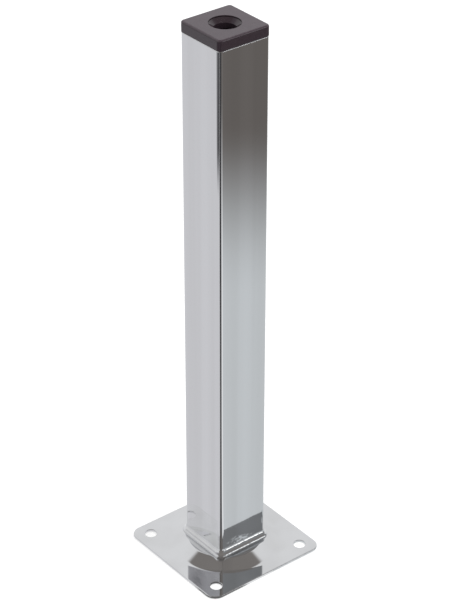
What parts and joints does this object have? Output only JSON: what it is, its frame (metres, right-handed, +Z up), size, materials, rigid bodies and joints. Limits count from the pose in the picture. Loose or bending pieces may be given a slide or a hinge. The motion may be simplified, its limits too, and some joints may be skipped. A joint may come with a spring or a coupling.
{
  "type": "square metal table leg",
  "caption": "Square chromed tube leg with a beaded end held on a pressed square fixing plate, and a dark ribbed plastic cap as its foot.",
  "frame": {"origin": "centre of the fixing plate's underside, on the tube's axis", "axes": "+Z up the tube from the plate to the foot cap; the plate's sides lie along X and Y"},
  "size_m": [0.097, 0.097, 0.4],
  "materials": {
    "chrome_tube": "bright chrome plating on steel tube",
    "chrome_plate": "bright chrome plating on pressed steel sheet",
    "cap_plastic": "dark grey moulded plastic, fine matt grain"
  },
  "bodies": {
    "root": {"tube": "chrome_tube", "mounting_plate": "chrome_plate", "end_cap": "cap_plastic"}
  },
  "joints": []
}
